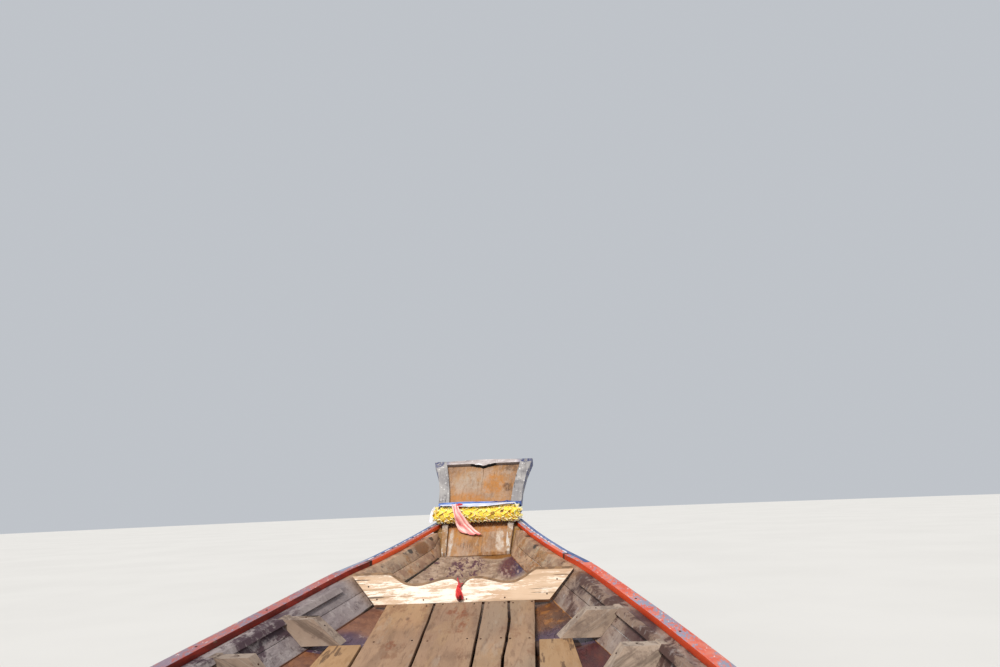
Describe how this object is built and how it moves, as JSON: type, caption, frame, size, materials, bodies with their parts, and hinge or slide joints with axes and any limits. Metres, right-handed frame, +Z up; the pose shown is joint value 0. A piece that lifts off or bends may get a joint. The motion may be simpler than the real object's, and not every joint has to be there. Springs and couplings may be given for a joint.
{
  "type": "longtail boat",
  "caption": "Open planked river boat with a raked prow board, washboard, floorboards, benches and canopy, driven by an engine on a swivel and tilt bracket with a long propeller shaft.",
  "frame": {"origin": "on the centre plane at the waterline, amidships", "axes": "+Y forward to the bow, +X to starboard, +Z up"},
  "size_m": [1.8574, 12.8451, 2.0628],
  "materials": {
    "hull_paint": "weathered planking, painted outside",
    "plank": "weathered timber",
    "rail": "worn red-orange paint",
    "strip": "worn blue paint with a white edge",
    "prow": "stained and bleached board",
    "post": "grey weathered wood with blue paint left",
    "washboard": "cream limewash over grain",
    "floor": "bare worn planks",
    "frame": "grey weathered frames",
    "bench": "worn varnish",
    "canvas": "coated canvas",
    "tube": "dull tube",
    "steel": "painted steel with rust",
    "engine": "oily enamel",
    "rubber": "belt and pulleys",
    "brass": "polished by water",
    "radiator": "black core",
    "flower": "yellow flower garland",
    "ribbon": "blue and white satin",
    "pink": "faded pink cloth",
    "red": "red thread tassel"
  },
  "bodies": {
    "hull": {"bottom_planks": "hull_paint", "bilge_strake_right": "hull_paint", "bilge_strake_left": "hull_paint", "topside_strake_right": "hull_paint", "topside_strake_left": "hull_paint", "transom": "hull_paint", "keel": "hull_paint", "gunwale_right": "rail", "gunwale_left": "rail", "bow_rail_right": "rail", "bow_rail_left": "rail", "bow_strip_right": "strip", "bow_strip_left": "strip", "floor_plank_1": "floor", "floor_plank_2": "floor", "floor_plank_3": "floor", "floor_plank_4": "floor", "floor_plank_1_aft": "floor", "floor_plank_2_aft": "floor", "floor_plank_3_aft": "floor", "floor_plank_4_aft": "floor", "side_floorboard_right": "floor", "side_floorboard_left": "floor", "side_floorboard_aft_right": "floor", "side_floorboard_aft_left": "floor", "side_frames_right": "frame", "side_frames_left": "frame", "floor_timbers": "frame", "prow_board": "prow", "prow_cap": "post", "prow_post_right": "post", "prow_post_left": "post", "garland": "flower", "ribbon": "ribbon", "pink_sash": "pink", "washboard": "washboard", "tassel": "red", "bench_front": "bench", "bench_middle": "bench", "bench_rear": "bench", "stern_deck": "bench", "canopy_side_right": "tube", "canopy_side_left": "tube", "canopy_hoops": "tube", "canopy": "canvas", "engine_beam": "plank", "engine_stand": "steel"},
    "yoke": {"yoke": "steel"},
    "engine": {"engine_bed": "steel", "engine_block": "engine", "rocker_cover": "steel", "bell_housing": "engine", "radiator": "radiator", "exhaust": "steel", "air_filter": "steel", "belt_drive": "rubber", "tiller": "tube", "shaft_tube": "steel"},
    "propeller": {"propeller": "brass"}
  },
  "joints": [
    {"name": "engine_swivel", "type": "hinge", "parent": "hull", "child": "yoke", "pos_m": [0, -4.75, 0.7], "axis": [0, 0, 1], "range_deg": [-50, 50]},
    {"name": "engine_tilt", "type": "hinge", "parent": "yoke", "child": "engine", "pos_m": [0, -4.75, 0.845], "axis": [1, 0, 0], "range_deg": [-25, 9]},
    {"name": "propeller_spin", "type": "hinge", "parent": "engine", "child": "propeller", "pos_m": [0, -7.77361, 0.21997], "axis": [0, -0.9703, -0.2419], "continuous": true}
  ]
}
